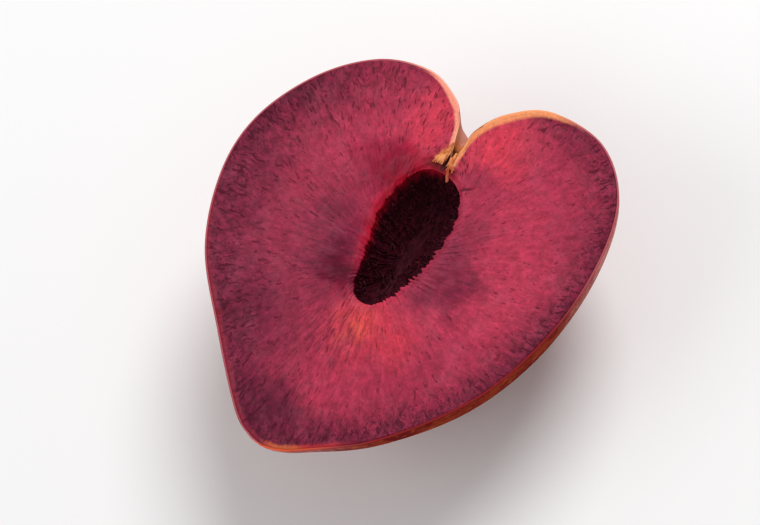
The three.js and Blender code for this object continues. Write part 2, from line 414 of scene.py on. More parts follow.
def cut_colours(places, to_skin, to_hollow, left_rim):
    """The colour of the flesh at places on the cut, with painted shade, sheen and rim glow in it, without its
    fibres, and how purple it is.
    """
    places = places - MIDDLE
    flat = np.concatenate([places, np.zeros(places.shape[:-1] + (1,))], axis=-1)
    wander = sum(np.stack([noise_at(flat, size, seed), noise_at(flat, size, seed + 1)], axis=-1) * amount
                 for size, seed, amount in ((3.6, 21, 0.9), (1.1, 23, 0.35)))
    places = places + wander * rise(to_hollow, 0, 2)[..., None]
    x, y = places[..., 0], places[..., 1]
    # Purple towards the skin, reaching furthest in on the left and low down: partly the flesh's own darker,
    # flecked outer band, partly painted shade and grey sheen of the wet face.
    reach = 4.5 + 7.5 * rise(-x, -4, 20) + 4.5 * rise(-y, 6, 26) + 2.5 * rise(x, 2, 14) * rise(y, 18, 28)
    reach = reach + 2.5 * rise(x, 12, 22)
    purple = 1 - rise(to_skin + wander[..., 0] * 0.8, -2.5, reach)
    purple = purple * (1 - rise(y, 14, 26) * rise(-x, 0, 8) * 0.55)
    purple = purple * (1 - patch_strength(places, 0, 24, 7, 9))
    layers = []
    for *patch, tint, strength in CUT_PATCHES + SCAR_PATCHES:
        layers.append((strength * patch_strength(places, *patch), tint))
    # Painted light: a red glow on the cut along the left rim of the stone hollow, where the rim catches the
    # light.
    layers.insert(len(CUT_PATCHES), (bell(to_hollow, 1.2) * left_rim, RIM_GLOW_RED))
    colours = np.array(PINK)
    for amount, tint in ((purple, DEEP_PURPLE), *layers):
        colours = colours + (np.array(tint) - colours) * amount[..., None]
    return under_gloss(colours), purple


def make_flesh():
    count = 2 * STATIONS
    loop = np.arange(count) / count
    share, side = down_and_side(loop)
    outer, normals, _, _ = skin_grid(STATIONS, 2 * BACK_STEPS)
    inner = rest_flat(outer - normals * (SKIN_THICKNESS * 0.8), 0.25)
    row = np.minimum(np.arange(count), count - np.arange(count))  # of the skin's grid, for each column
    edge = inner[row, np.where(side > 0, 0, 2 * BACK_STEPS)][:, :2]
    rim_loop = loop + FIBRE_TWIST * bell(loop - 0.46, 0.11)
    rim = hollow_rim(rim_loop)
    radial = rim - edge
    span = np.linalg.norm(radial, axis=1)
    middle_ring = edge + radial / 2
    steps = np.linalg.norm(middle_ring - np.roll(middle_ring, 1, axis=0), axis=1)
    around = np.cumsum(steps)
    ring_length = around[-1]
    angle = 2 * math.pi * around / ring_length
    radius = ring_length / (2 * math.pi)

    def rowwise(values):
        """The same values, one for each column, on every ring of the cut face."""
        return np.broadcast_to(values, (FACE_RINGS + 1, count))

    def fibres_at(along):
        """Places in the fibres' own space, where fibres run along Z."""
        return np.stack(np.broadcast_arrays(radius * np.cos(angle), radius * np.sin(angle), along), axis=-1)

    # The cut face, ring by ring from the skin in to the stone hollow.
    out = 1 - np.linspace(0, 1, FACE_RINGS + 1)[:, None] ** 0.94
    place = edge + radial * (1 - out)[..., None]
    to_skin = (1 - out) * span
    to_hollow = out * span
    fibre = fibres_at(to_hollow)
    heading = rowwise(np.arctan2(radial[:, 1], radial[:, 0]))
    by_stem = rowwise(bell(np.minimum(loop, 1 - loop), 0.05))
    strand = noise_at(fibre * (1, 1, 0.3), 1.1, 1) * 0.6 + noise_at(fibre * (1, 1, 0.25), 0.5, 2) * 0.4
    broad = noise_at(fibre * (1, 1, 0.5), 5.5, 4)
    gash = pits(place.reshape(-1, 2), heading.ravel(), to_skin.ravel(), to_hollow.ravel())
    gash = gash.reshape(to_skin.shape)
    dip = dips(place[..., 0], place[..., 1])
    fade = rise(to_skin, 0, 1.2) * rise(to_hollow, 0, 6.0) * (1 - 0.8 * by_stem)
    height = -FACE_LIES - (STRAND_RELIEF * (1 + strand) + BROAD_RELIEF * (1 + broad)) * fade
    height = height - DIP_DEPTH * dip * rise(to_hollow, 0.2, 4) - PIT_DEPTH * gash * rise(to_skin, 0, 1.2)
    height = height - TORN_EDGE * (1 - rise(to_hollow, 0, 1.1)) * (1 - by_stem)
    height = height + RIM_STANDS * (1 - rise(to_skin, 0, 0.5))
    face_points = np.concatenate([place, height[..., None]], axis=-1)

    # The stone hollow, with torn fibres down its wall.
    deep = (np.arange(1, HOLLOW_RINGS) / HOLLOW_RINGS)[:, None]
    hollow = hollow_wall(rim, height[-1], deep)
    hollow_fibre = fibres_at(-deep * FIBRE_DROP)
    inward = hollow - (STONE_MIDDLE[0], STONE_MIDDLE[1], 0)
    ragged = noise_at(hollow_fibre * (1, 1, 0.4), 1.3, 5) * 0.35 + noise_at(hollow, 0.9, 6) * 0.2
    hollow = hollow + unit(inward) * (ragged * rise(deep, 0, 0.2) * (1 - deep))[..., None]
    bottom = np.array([[*STONE_MIDDLE, -STONE_HALF_WIDTH]])

    # The back, from the skin's side of the cut down to the middle line. Both sides meet there.
    back = [inner[row, np.where(side > 0, step, 2 * BACK_STEPS - step)] for step in range(BACK_STEPS, 0, -1)]
    rings = np.concatenate([np.array(back), face_points, hollow])
    ring_count = len(rings)
    points = np.concatenate([rings.reshape(-1, 3), bottom])

    def spread(on_face, in_hollow=0, on_back=0, at_bottom=0):
        """One attribute over the whole mesh, from its values on each stretch."""
        size = np.shape(on_face)[2:]
        values = np.empty((ring_count, count) + size)
        values[:BACK_STEPS] = on_back
        values[BACK_STEPS:1 - HOLLOW_RINGS] = on_face
        values[1 - HOLLOW_RINGS:] = in_hollow
        return np.append(values.reshape((-1,) + size), np.reshape(at_bottom, (1,) + size), axis=0)

    rim_along = rim[:, 1] - MIDDLE[1]
    left_rim = np.where(rim_loop > 0.5, rise(rim_along, -4, 3), rise(rim_along, 14.4, 15.2))
    tint, purple = cut_colours(place, to_skin, to_hollow, rowwise(left_rim))
    spots = place - MIDDLE
    x, y = spots[..., 0], spots[..., 1]
    strokes = sum(strength * patch_strength(spots, *patch) for *patch, strength in STROKE_PATCHES)
    blots = bell(to_skin - 1.8, 2.4) * np.maximum(rise(-y, 4, 14) * rise(x, -8, 4), 0.7 * rise(x, 12, 22))
    flank = 1 - rise(share, np.where(side > 0, 0.24, 0.2), np.where(side > 0, 0.38, 0.35))

    attributes = {
        "fibre": spread(fibre, hollow_fibre, 0, (0, 0, -FIBRE_DROP)),
        # In the hollow the tint is nearly black, darkest at the bottom: painted shade.
        "tint": spread(tint, under_gloss((60, 8, 20)), under_gloss((150, 70, 50)), under_gloss((30, 5, 10))),
        "to_skin": spread(to_skin, span, 0, span.mean()),
        "to_hollow": spread(to_hollow, 0, 30),
        "down": spread(0, deep * STONE_HALF_WIDTH, 0, STONE_HALF_WIDTH),
        "gash": spread(gash),
        "purple": spread(purple),
        "strokes": spread(np.clip(strokes, 0, 1)),
        "blots": spread(blots),
        "flank": spread(flank, flank),
        "left_rim": spread(left_rim, left_rim),
    }
    last = (ring_count - 1) * count
    faces = ring_faces(0, ring_count, count)
    faces += [(last + k, len(points) - 1, last + (k + 1) % count) for k in range(count)]
    piece = mesh_piece("plum_flesh", points, faces, attributes)
    inside = np.arange(len(piece.data.polygons)) >= (ring_count - HOLLOW_RINGS) * count
    piece.data.materials.append(flesh_material)
    piece.data.materials.append(hollow_material)
    piece.data.polygons.foreach_set("material_index", inside.astype(np.int32))
    weld(piece)
    return piece


def weld(piece, distance=1e-7):
    """Merges points that lie in one place, and drops what that flattens."""
    work = bmesh.new()
    work.from_mesh(piece.data)
    bmesh.ops.remove_doubles(work, verts=work.verts, dist=distance)
    bmesh.ops.dissolve_degenerate(work, edges=work.edges, dist=distance)
    bmesh.ops.recalc_face_normals(work, faces=work.faces)
    work.to_mesh(piece.data)
    work.free()


# ---- Skin: a thin closed shell over the back, whose cut edge shows all round.
def make_skin():
    outer, normals, share, turn = skin_grid(SKIN_STATIONS, SKIN_STEPS)
    inner = outer - normals * SKIN_THICKNESS
    outer = rest_flat(outer, RESTING_GAP)
    inner = rest_flat(inner, RESTING_GAP + SKIN_THICKNESS)
    outer[:, (0, -1), 2] = -0.12
    inner[:, (0, -1), 2] = -0.07
    rows, columns = share.shape
    points = np.concatenate([outer.reshape(-1, 3), inner.reshape(-1, 3)])
    stem_bottom = outline(LEFT_OUTLINE, WIDTH / 2, np.zeros(1))[0]
    from_stem = np.hypot(points[:, 0] - stem_bottom[0], points[:, 2] * 0.9)
    attributes = {
        "from_stem": np.where(points[:, 1] > stem_bottom[1] - 1, from_stem, 30),
        "from_scar": np.linalg.norm((points - (*stem_bottom, 0)) * (1, 1, 0.8), axis=1),
        "from_tip": np.linalg.norm(points - (0.2, 0, 0), axis=1),
        "stem_end": np.tile(1 - rise(share.ravel(), 0.05, 0.42), 2),
        "suture": np.tile((bell(turn - math.pi / 2, 0.1) * (1 - share) ** 0.5).ravel(), 2),
        "cut_edge": np.tile((np.isin(np.arange(columns), (0, columns - 1)) * np.ones((rows, 1))).ravel(), 2),
        "flank": np.tile((1 - rise(share, 0.22, 0.4)).ravel(), 2),
    }
    size = rows * columns
    faces = []
    for i in range(rows - 1):
        for j in range(columns - 1):
            a = i * columns + j
            b = a + columns
            faces.append((a, b, b + 1, a + 1))
            faces.append((size + a, size + a + 1, size + b + 1, size + b))
        for j, flip in ((0, False), (columns - 1, True)):
            a = i * columns + j
            b = a + columns
            strip = (a, size + a, size + b, b)
            faces.append(strip[::-1] if flip else strip)
    piece = mesh_piece("plum_skin", points, faces, attributes)
    weld(piece)
    return piece


# ---- Torn fibres, made by Geometry Nodes.
class Tree:
    """Adds nodes to one node tree, with each input given as a value or as another node's output."""

    def __init__(self, tree):
        self.tree = tree

    def node(self, kind, inputs=None, **settings):
        made = self.tree.nodes.new(kind)
        for name, value in settings.items():
            setattr(made, name, value)
        for socket, value in (inputs or {}).items():
            self.feed(made.inputs[socket], value)
        return made

    def made(self, *arguments, **settings):
        return self.node(*arguments, **settings).outputs[0]

    def feed(self, socket, value):
        if isinstance(value, bpy.types.NodeSocket):
            self.tree.links.new(value, socket)
        else:
            socket.default_value = value

    def math(self, operation, first, second=0.0, clamp=False):
        made = self.node("ShaderNodeMath", {0: first, 1: second}, operation=operation, use_clamp=clamp)
        return made.outputs[0]

    plus = functools.partialmethod(math, "ADD")
    minus = functools.partialmethod(math, "SUBTRACT")
    over = functools.partialmethod(math, "DIVIDE")
    larger = functools.partialmethod(math, "MAXIMUM")

    def times(self, *factors):
        return functools.reduce(functools.partial(self.math, "MULTIPLY"), factors)

    def vector(self, operation, first, second):
        return self.made("ShaderNodeVectorMath", {0: first, 1: second}, operation=operation)

    def xyz(self, **parts):
        return self.made("ShaderNodeCombineXYZ", parts)


def new_group(name, kind, **sockets):
    """A node tree with named inputs and one output: the tree, its nodes, its inputs and its result."""
    group = bpy.data.node_groups.new(name, kind + "NodeTree")
    for key, socket_kind in sockets.items():
        group.interface.new_socket(key, in_out="INPUT", socket_type="NodeSocket" + socket_kind)
    result, result_kind = {"Geometry": ("Geometry", "Geometry"), "Shader": ("Mask", "Float")}[kind]
    group.interface.new_socket(result, in_out="OUTPUT", socket_type="NodeSocket" + result_kind)
    tree = Tree(group)
    return group, tree, tree.node("NodeGroupInput").outputs, tree.node("NodeGroupOutput").inputs[0]


def grown(guide, group, values, name):
    """The plain mesh that the tree makes from the guide, as a new piece. The guide is removed."""
    modifier = guide.modifiers.new("grow", "NODES")
    modifier.node_group = group
    named = {item.name: item.identifier for item in group.interface.items_tree if item.in_out == "INPUT"}
    for key, value in values.items():
        modifier[named[key]] = value
    evaluated = guide.evaluated_get(bpy.context.evaluated_depsgraph_get())
    mesh = bpy.data.meshes.new_from_object(evaluated)
    mesh.name = name
    bpy.data.objects.remove(guide)
    return linked(name, mesh)


def tube(tree, line, radius, thickness, sides):
    """A closed tube along the line. Its radius is a share of the thickness."""
    section = tree.made("GeometryNodeCurvePrimitiveCircle", {"Resolution": sides, "Radius": thickness})
    line = tree.made("GeometryNodeSetCurveRadius", {"Curve": line, "Radius": radius})
    return tree.node("GeometryNodeCurveToMesh", {
        "Curve": line, "Profile Curve": section, "Fill Caps": True,
    }).outputs[0]


def ended(group, tree, made, result, material):
    """The tree, once what it made is real, smooth and of this material."""
    made = tree.made("GeometryNodeRealizeInstances", {"Geometry": made})
    made = tree.made("GeometryNodeSetShadeSmooth", {"Geometry": made})
    made = tree.made("GeometryNodeSetMaterial", {"Geometry": made, "Material": material})
    tree.feed(result, made)
    return group


def bristle_tree(material):
    """Short bent fibres standing out of a wall."""
    group, tree, given, result = new_group(
        "torn bristles", "Geometry",
        Geometry="Geometry", Density="Float", Length="Float", Thickness="Float", Bend="Float", Seed="Int")
    spread = tree.node("GeometryNodeDistributePointsOnFaces", {
        "Mesh": given["Geometry"], "Density": given["Density"], "Seed": given["Seed"],
    })
    line = tree.node("GeometryNodeCurvePrimitiveLine", {"End": tree.xyz(Z=given["Length"])}).outputs["Curve"]
    line = tree.node("GeometryNodeResampleCurve", {"Curve": line, "Count": 5}).outputs["Curve"]
    along = tree.node("GeometryNodeSplineParameter").outputs["Factor"]
    bent = tree.times(tree.math("POWER", along, 2.0), given["Bend"])
    line = tree.made("GeometryNodeSetPosition", {"Geometry": line, "Offset": tree.xyz(X=bent)})
    taper = tree.minus(1.0, tree.times(along, 0.85))
    fibre = tube(tree, line, taper, given["Thickness"], 3)
    lean = tree.node("FunctionNodeRandomValue", {
        "Min": (-0.75, -0.75, -3.1), "Max": (0.75, 0.75, 3.1), "Seed": given["Seed"],
    }, data_type="FLOAT_VECTOR").outputs["Value"]
    lean = tree.node("FunctionNodeEulerToRotation", {"Euler": lean}).outputs["Rotation"]
    turned = tree.node("FunctionNodeRotateRotation", {
        "Rotation": spread.outputs["Rotation"], "Rotate By": lean,
    }, rotation_space="LOCAL")
    size = tree.node("FunctionNodeRandomValue", {2: 0.45, 3: 1.25, "Seed": given["Seed"]})
    many = tree.node("GeometryNodeInstanceOnPoints", {
        "Points": spread.outputs["Points"], "Instance": fibre, "Rotation": turned.outputs["Rotation"],
        "Scale": size.outputs[1],
    }).outputs["Instances"]
    return ended(group, tree, many, result, material)


def strand_tree(material):
    """Strands that follow the guide's lines, thinning at both ends and a little wavy."""
    group, tree, given, result = new_group(
        "torn strands", "Geometry", Geometry="Geometry", Thickness="Float", Waviness="Float", Seed="Float")
    line = tree.node("GeometryNodeMeshToCurve", {"Mesh": given["Geometry"]}).outputs["Curve"]
    line = tree.node("GeometryNodeResampleCurve", {"Curve": line, "Count": 14}).outputs["Curve"]
    place = tree.made("GeometryNodeInputPosition")
    shifted = tree.vector("ADD", place, tree.xyz(X=given["Seed"]))
    shake = tree.node("ShaderNodeTexNoise", {"Vector": shifted, "Scale": 900.0, "Detail": 1.0})
    shake = tree.vector("SUBTRACT", shake.outputs["Color"], (0.5, 0.5, 0.5))
    shake = tree.node("ShaderNodeVectorMath", {0: shake, "Scale": given["Waviness"]}, operation="SCALE")
    line = tree.made("GeometryNodeSetPosition", {"Geometry": line, "Offset": shake.outputs[0]})
    along = tree.node("GeometryNodeSplineParameter").outputs["Factor"]
    belly = tree.math("SINE", tree.plus(tree.times(along, 2.7), 0.25))
    own = tree.made("GeometryNodeInputIndex")
    uneven = tree.node("FunctionNodeRandomValue", {2: 0.75, 3: 1.25, "ID": own})
    radius = tree.times(belly, uneven.outputs[1])
    return ended(group, tree, tube(tree, line, radius, given["Thickness"], 5), result, material)


def make_bristles(material, columns=120, rings=14):
    """Bristles on the wall of the stone hollow, from a little below its rim."""
    wall = hollow_wall(hollow_rim(np.arange(columns) / columns), 0, (np.arange(rings) / rings)[:, None])
    guide = mesh_piece("hollow wall guide", wall.reshape(-1, 3), ring_faces(2 * columns, rings - 2, columns))
    return grown(guide, bristle_tree(material), {
        "Density": 1.8e6, "Length": 0.6 * MM, "Thickness": 0.08 * MM, "Bend": 0.3 * MM, "Seed": 5,
    }, "hollow_fibres")


# Bundles of torn fibres at the stem scar: from, to, how far they spread at each end, how many and how
# high they bow. Each end is [across, along, above the cut] from the middle of the box.
STEM_BUNDLES = (
    ((-0.15, 18.9, -0.1), (-0.65, 15.9, -0.14), (0.16, 0.6), 16, 0.04),
    ((1.1, 18.2, -0.1), (1.2, 16.1, -0.1), (0.14, 0.3), 8, 0.05),
    ((1.15, 16.6, -0.1), (2.0, 15.8, -0.15), (0.2, 0.2), 4, 0.06),
    ((1.25, 16.0, -0.1), (2.05, 14.6, -0.4), (0.1, 0.02), 2, 0.05),
)


def make_strands(material):
    random = np.random.default_rng(9)
    share = np.linspace(0, 1, 9)[:, None]
    points = []
    edges = []
    for start, end, (tight, wide), count, bow in STEM_BUNDLES:
        for _ in range(count):
            first = np.array(start) + random.normal(0, 0.5, 3) * (tight, 0.5, 0.2 * tight + 0.04)
            last = np.array(end) + random.normal(0, 0.5, 3) * (wide, 0.45, 0.2 * wide + 0.04)
            aside = random.normal(0, 0.06, 2)
            edges += [(len(points) + step, len(points) + step + 1) for step in range(len(share) - 1)]
            bowed = np.sin(math.pi * share) * (*aside, bow)
            points += [*(first * (1 - share) + last * share + (*MIDDLE, 0) + bowed)]
    guide = linked("strand guide", new_mesh("strand guide", placed(np.array(points)).tolist(), edges, []))
    return grown(guide, strand_tree(material), {
        "Thickness": 0.17 * MM, "Waviness": 0.05 * MM, "Seed": 3.0,
    }, "stem_scar_fibres")


# ---- Finishes.
class Finish(Tree):
    """A material's nodes, with short names for what the finishes use most. Its place is in millimetres."""

    def __init__(self, name):
        self.material = bpy.data.materials.new(name)
        self.material.use_nodes = True
        super().__init__(self.material.node_tree)
        self.shader = self.tree.nodes["Principled BSDF"]
        self.place = self.scaled(self.node("ShaderNodeTexCoord").outputs["Object"], (1 / MM,) * 3)

    def attribute(self, name, output="Fac"):
        return self.node("ShaderNodeAttribute", attribute_name=name).outputs[output]

    def attributes(self, *names):
        return [self.attribute(name) for name in names]

    def blend(self, factor, first, second, share=1.0, kind="MIX"):
        """From the first colour to the second, or a share of the way. Plain colours are as on a screen."""
        if share != 1.0:
            factor = self.times(factor, share)
        first, second = ((*linear(c), 1.0) if isinstance(c, tuple) else c for c in (first, second))
        made = self.node("ShaderNodeMix", {0: factor, 6: first, 7: second}, data_type="RGBA", blend_type=kind)
        return made.outputs[2]

    def step(self, value, low, high, start=0.0, end=1.0):
        made = self.node("ShaderNodeMapRange", {0: value, 1: low, 2: high, 3: start, 4: end},
                         interpolation_type="SMOOTHSTEP")
        return made.outputs[0]

    def scaled(self, vector, scale):
        return self.vector("MULTIPLY", vector, scale)

    def noise(self, vector, size, detail=2.0, roughness=0.5, output="Fac"):
        """Plain noise, about 0.25 to 0.75, with features of about that size in the vector's own units."""
        made = self.node("ShaderNodeTexNoise", {
            "Vector": vector, "Scale": 1 / size, "Detail": detail, "Roughness": roughness,
        })
        return made.outputs[output]

    def cloud(self, vector, size, detail, roughness, low, high):
        """Soft patches from 0 to 1, of about that size."""
        return self.step(self.noise(vector, size, detail, roughness), low, high)

    def line_through(self, vector, size, detail):
        """0 along winding lines, rising on both sides of them."""
        return self.math("ABSOLUTE", self.minus(self.noise(vector, size, detail), 0.5))

    def shaken(self, vector, size, amount):
        """The vector, moved about by up to half the amount, so that a pattern on it isn't regular."""
        offset = self.vector("SUBTRACT", self.noise(vector, size, 1.0, output="Color"), (0.5, 0.5, 0.5))
        return self.vector("ADD", vector, self.scaled(offset, (amount,) * 3))

    def shaded(self, base, value, *steps):
        """The colour, made darker or lighter by the value or by a smooth step of it."""
        if steps:
            value = self.step(value, *steps)
        return self.blend(1.0, base, value, kind="MULTIPLY")

    def use(self, group, **inputs):
        made = self.node("ShaderNodeGroup")
        made.node_tree = group
        for name, value in inputs.items():
            self.feed(made.inputs[name], value)
        return made.outputs[0]

    def glow(self, weight, radius, scale):
        """Light that goes in comes out again about this far off, in millimetres."""
        for name, value in (("Weight", weight), ("Radius", radius), ("Scale", scale * MM)):
            self.shader.inputs["Subsurface " + name].default_value = value

    def finished(self, base, rough, relief, strength, height, gloss):
        """The material, with its colour, roughness, fine relief of this height in millimetres, and gloss."""
        bump = self.node("ShaderNodeBump", {"Height": relief, "Strength": strength, "Distance": height * MM})
        self.feed(self.shader.inputs["Base Color"], base)
        self.feed(self.shader.inputs["Roughness"], rough)
        self.feed(self.shader.inputs["Normal"], bump.outputs[0])
        self.shader.inputs["Specular IOR Level"].default_value = gloss
        return self.material


def fleck_group():
    """Small separate flecks, 1 in their middle, of one size, with a share of the cells left bare."""
    group, tree, given, result = new_group(
        "flecks", "Shader", Vector="Vector", Spacing="Float", Size="Float", Share="Float")
    scale = tree.over(1.0, given["Spacing"])
    cells = tree.node("ShaderNodeTexVoronoi", {"Vector": given["Vector"], "Scale": scale})
    reach = tree.over(given["Size"], given["Spacing"])
    own = tree.node("ShaderNodeSeparateColor", {0: cells.outputs["Color"]})
    reach = tree.times(reach, tree.plus(0.55, own.outputs[1]))
    inside = tree.minus(1.0, tree.over(cells.outputs["Distance"], reach), clamp=True)
    kept = tree.math("LESS_THAN", own.outputs[0], given["Share"])
    tree.feed(result, tree.times(inside, kept))
    return group


def streak_group():
    """Fine streaks along Z of the vector, about 0.25 to 0.75."""
    group, tree, given, result = new_group(
        "streaks", "Shader", Vector="Vector", Width="Float", Stretch="Float")
    shrink = tree.xyz(X=1.0, Y=1.0, Z=tree.over(1.0, given["Stretch"]))
    along = tree.vector("MULTIPLY", given["Vector"], shrink)
    streaks = tree.node("ShaderNodeTexNoise", {
        "Vector": along, "Scale": tree.over(1.0, given["Width"]), "Detail": 3.0, "Roughness": 0.65,
    })
    tree.feed(result, streaks.outputs["Fac"])
    return group


FLECKS = fleck_group()
STREAKS = streak_group()


def flesh_finish():
    f = Finish("wine-red flesh")
    place, fibre = f.place, f.attribute("fibre", "Vector")
    to_skin, gash, purple, flank, strokes = f.attributes("to_skin", "gash", "purple", "flank", "strokes")
    x, y, _ = f.node("ShaderNodeSeparateXYZ", {0: place}).outputs
    shaken = f.shaken(fibre, 0.9, 0.5)

    # Mottling and grain over the soft colours of the cut, and fine fibres towards the hollow.
    base = f.attribute("tint", "Color")
    mottle = f.noise(place, 1.5, 3.0, 0.6)
    unevenly = f.minus(mottle, 0.5)
    grain = f.noise(place, 0.42, 3.0, 0.65)
    streak = f.use(STREAKS, Vector=shaken, Width=0.42, Stretch=4.0)
    wide_streak = f.use(STREAKS, Vector=shaken, Width=0.7, Stretch=5.0)
    inner = f.step(f.attribute("to_hollow"), 0.5, 6.0, 0.2, 1.0)
    base = f.shaded(base, mottle, 0.3, 0.7, 0.85, 1.15)
    base = f.shaded(base, grain, 0.3, 0.7, 0.89, 1.12)
    lines = f.times(f.minus(streak, 0.5), inner)
    base = f.shaded(base, lines, -0.22, 0.22, 0.93, 1.07)
    base = f.shaded(base, wide_streak, 0.32, 0.68, 0.92, 1.09)
    dusty = f.step(f.noise(shaken, 2.6, 3.0, 0.6), 0.42, 0.75)
    base = f.blend(dusty, base, (170, 84, 104), 0.16)

    # Broad strokes of torn fibre, dark, dusty and orange, mostly under the hollow.
    base = f.blend(f.times(f.step(wide_streak, 0.49, 0.37), strokes), base, (84, 22, 46), 0.5)
    lit = f.times(f.step(y, -5.5, -7.5), f.step(y, -17.0, -11.0), f.step(x, -3.5, 0.0), f.step(x, 6.5, 3.5))
    base = f.blend(f.times(f.step(wide_streak, 0.5, 0.63), lit), base, (228, 92, 72), 0.22)

    # Streaks, and then dark marks: dashes along the fibres, specks between them, and squiggles low down.
    bent = f.shaken(fibre, 2.2, 0.9)
    dark = f.step(f.noise(f.scaled(bent, (1.0, 1.0, 0.35)), 0.5, 3.0, 0.6), 0.36, 0.64, -0.28, 0.22)
    dark = f.times(dark, f.step(purple, 0.0, 0.7, 0.35, 1.0))
    base = f.shaded(base, f.plus(1.0, dark))
    left = f.times(f.step(to_skin, 14.0, 5.0, 0.0, 0.06), f.step(x, 0.0, -9.0))
    often = f.plus(f.larger(f.times(purple, 0.09), left), f.times(strokes, 0.03))
    inner_dashes = f.noise(f.scaled(bent, (1.0, 1.0, 0.25)), 0.42, 2.0, 0.5)
    outer_dashes = f.noise(f.scaled(bent, (1.0, 1.0, 0.18)), 0.29, 1.0, 0.5)
    dashes = f.node("ShaderNodeMix", {0: f.step(purple, 0.25, 0.55), 2: inner_dashes, 3: outer_dashes})
    dashes = f.step(f.plus(dashes.outputs[0], often), 0.64, 0.71)
    around = f.shaken(place, 0.9, 0.3)
    specks = f.step(f.plus(f.noise(around, 0.45, 2.0, 0.6), f.times(purple, 0.1)), 0.64, 0.72)
    bends = f.line_through(around, 1.4, 1.0)
    broken = f.step(f.noise(place, 0.95, 2.0, 0.5), 0.45, 0.53)
    squiggles = f.times(f.step(bends, 0.034, 0.014), broken, f.attribute("blots"))
    flecks = f.larger(f.larger(dashes, f.times(specks, 0.75)), squiggles, clamp=True)
    base = f.blend(flecks, base, (70, 4, 28), f.plus(0.55, f.times(purple, 0.3)))
    # Darker in the gashes: partly the torn flesh's own colour, partly painted shade inside them.
    base = f.blend(f.step(gash, 0.2, 0.9), base, (62, 6, 26), 0.7)

    # Redder flesh in a soft broken line just inside the skin, widening from the left side to the tip.
    width = f.times(f.step(y, 4.0, -20.0, 0.12, 0.8), f.step(x, 10.0, -4.0))
    reddened = f.over(f.plus(to_skin, f.times(unevenly, 1.8)), f.plus(width, 0.01))
    reddened = f.times(f.step(reddened, 1.3, 0.3), f.step(y, 8.0, -8.0))
    base = f.blend(reddened, base, (170, 44, 62), 0.36)

    # A peach band under the skin on both flanks of the stem hollow, and an orange line at the tip.
    band = f.minus(to_skin, f.times(unevenly, 0.5))
    width = f.plus(0.2, f.times(flank, f.step(x, -0.6, 0.6, 0.75, 1.05)))
    band = f.times(f.step(f.over(band, width), 1.3, 0.5), f.step(flank, 0.0, 0.5))
    peach = f.blend(f.step(x, -0.6, 0.6), (243, 148, 126), (238, 146, 98))
    peach = f.shaded(peach, grain, 0.3, 0.7, 0.86, 1.14)
    base = f.blend(band, base, peach)
    tip = f.plus(to_skin, f.times(unevenly, 1.4))
    tip = f.times(f.step(tip, 0.9, 0.15), f.step(x, 0.0, 3.5), f.step(y, -22.5, -26.5))
    line = f.blend(f.step(y, -27.0, -29.0), (196, 48, 50), (222, 112, 58))
    base = f.blend(tip, base, line, 0.7)
    # Nearly black in the deepest splits of the stem scar: painted shade.
    base = f.blend(f.step(gash, 1.2, 2.2), base, (46, 10, 10))

    # Moist: smoother where juice stands, rougher on torn fibre.
    wet = f.cloud(place, 2.4, 2.0, 0.6, 0.35, 0.7)
    rough = f.plus(f.plus(0.46, f.times(wet, 0.16)), f.times(flecks, 0.15), clamp=True)
    relief = f.minus(f.plus(f.times(grain, 0.9), f.times(lines, 0.7)), f.times(flecks, 0.5))
    f.glow(0.1, (1.0, 0.2, 0.2), 1.4)
    return f.finished(base, rough, relief, 0.42, 0.13, 0.14)


def hollow_finish():
    """The wall of the stone hollow: painted shade makes it nearly black further down, and painted light makes
    it red where the left rim catches the light.
    """
    f = Finish("dark hollow wall")
    down, left_rim = f.attributes("down", "left_rim")
    streak = f.noise(f.scaled(f.shaken(f.place, 1.2, 0.6), (1.0, 0.32, 0.7)), 0.5, 3.0, 0.65)
    deep = f.blend(f.step(streak, 0.36, 0.68), (42, 4, 14), (72, 14, 30))
    rim = f.blend(left_rim, (92, 8, 32), (160, 10, 36))
    rim = f.shaded(rim, streak, 0.35, 0.65, 0.6, 1.3)
    # Painted shade: darker further down the hollow, with the painted rim light reaching further down on the
    # left.
    fade = f.step(f.minus(down, f.times(left_rim, 0.7)), -0.5, 2.2)
    return f.finished(f.blend(fade, rim, deep), f.step(streak, 0.4, 0.7, 0.75, 0.5), streak, 0.7, 0.3, 0.08)


